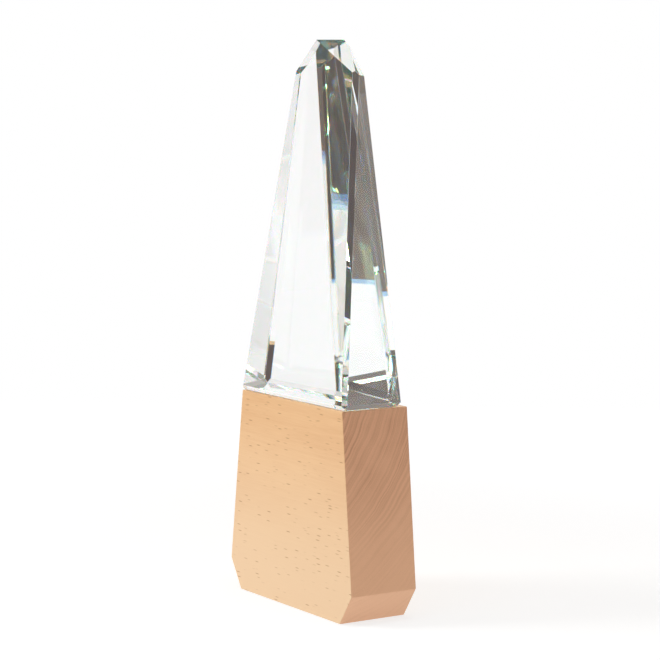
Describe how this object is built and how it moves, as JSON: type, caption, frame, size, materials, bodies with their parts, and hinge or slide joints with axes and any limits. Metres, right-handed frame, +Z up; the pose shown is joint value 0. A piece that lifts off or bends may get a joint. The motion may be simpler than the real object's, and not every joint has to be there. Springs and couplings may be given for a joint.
{
  "type": "crystal award",
  "caption": "Free-standing award: a tapering faceted block of clear crystal glued on a solid beech base with bevelled lower corners.",
  "frame": {"origin": "middle of the flat underside of the wood base, on the surface that the award stands on", "axes": "+Z up; X along the width of the award; -Y is the front"},
  "size_m": [0.0954, 0.0354, 0.2441],
  "materials": {
    "beech": "fine-sanded solid beech with a matt clear lacquer",
    "clear_glue": "clear light-cured adhesive film",
    "crystal": "clear optical crystal, ground flat and polished on every facet"
  },
  "bodies": {
    "root": {"wood_base": "beech", "glue_film": "clear_glue", "crystal": "crystal"}
  },
  "joints": []
}
